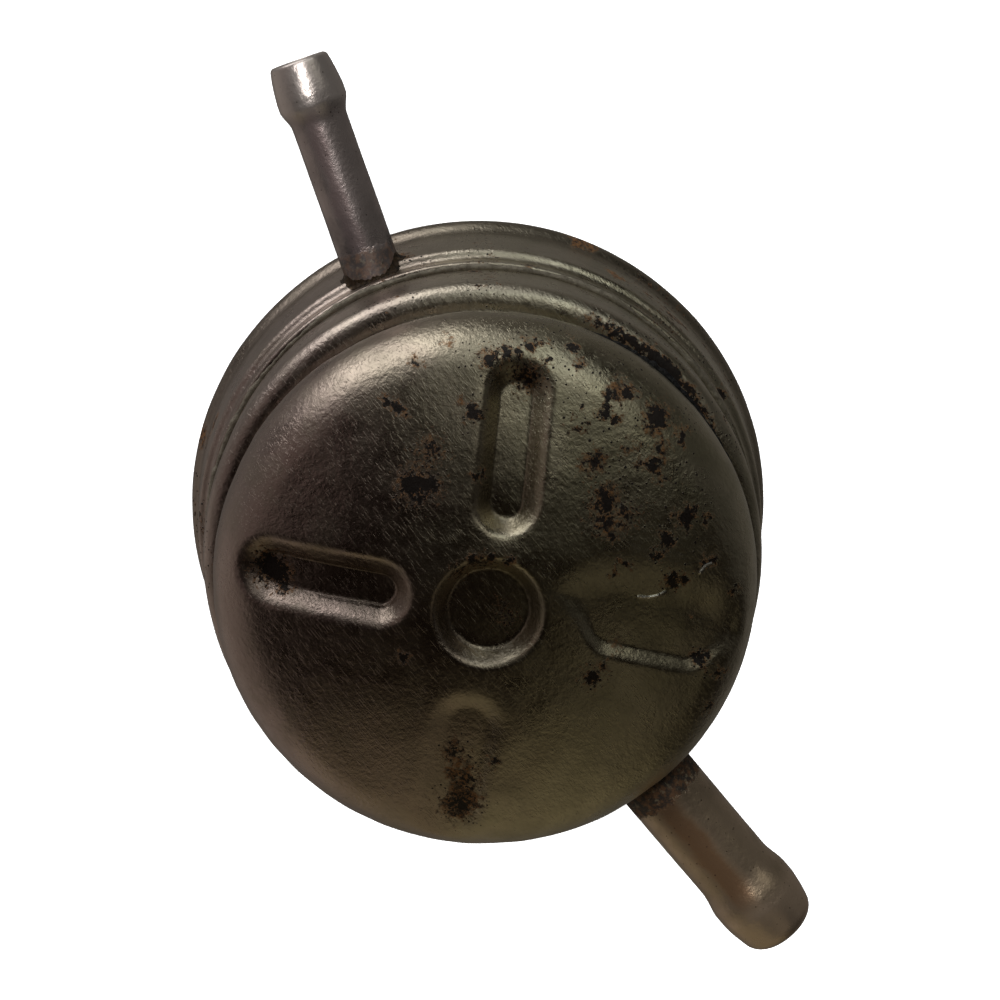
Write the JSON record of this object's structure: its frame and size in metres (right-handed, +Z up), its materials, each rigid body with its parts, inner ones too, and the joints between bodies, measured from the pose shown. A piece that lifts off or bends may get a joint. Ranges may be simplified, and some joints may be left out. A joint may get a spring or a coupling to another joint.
{
  "type": "fuel filter",
  "caption": "Round pressed-steel inline fuel filter with a domed, rib-stamped cover and two barbed hose tubes brazed into its side.",
  "frame": {"origin": "centre of the flat bottom that the can rests on", "axes": "+Z up through the domed front cover, +X out along the outlet tube"},
  "size_m": [0.1065, 0.0656, 0.05],
  "materials": {
    "plated_steel": "aged tin-plated pressing, rust spotted",
    "tube_steel": "aged plated tube, stained",
    "solder": "dull solder, dirty",
    "braze": "dirty brazing metal, partly rusted",
    "seal_rubber": "matte nitrile rubber",
    "tinplate": "bright tinplate",
    "spring_steel": "plain spring wire",
    "adhesive": "cured plastisol",
    "filter_paper": "resin-treated filter paper"
  },
  "bodies": {
    "root": {"front_cover": "plated_steel", "body_shell": "plated_steel", "rear_shell": "plated_steel", "cover_solder": "solder", "lap_solder": "solder", "outlet_tube": "tube_steel", "inlet_tube": "tube_steel", "outlet_braze": "braze", "inlet_braze": "braze", "cover_seal": "seal_rubber", "partition_plate": "tinplate", "element_gasket": "seal_rubber", "upper_end_cap": "tinplate", "lower_end_cap": "tinplate", "upper_bedding": "adhesive", "lower_bedding": "adhesive", "filter_paper": "filter_paper", "pleat_clip": "tinplate", "centre_tube": "tinplate", "spring_seat": "tinplate", "element_spring": "spring_steel"}
  },
  "joints": []
}
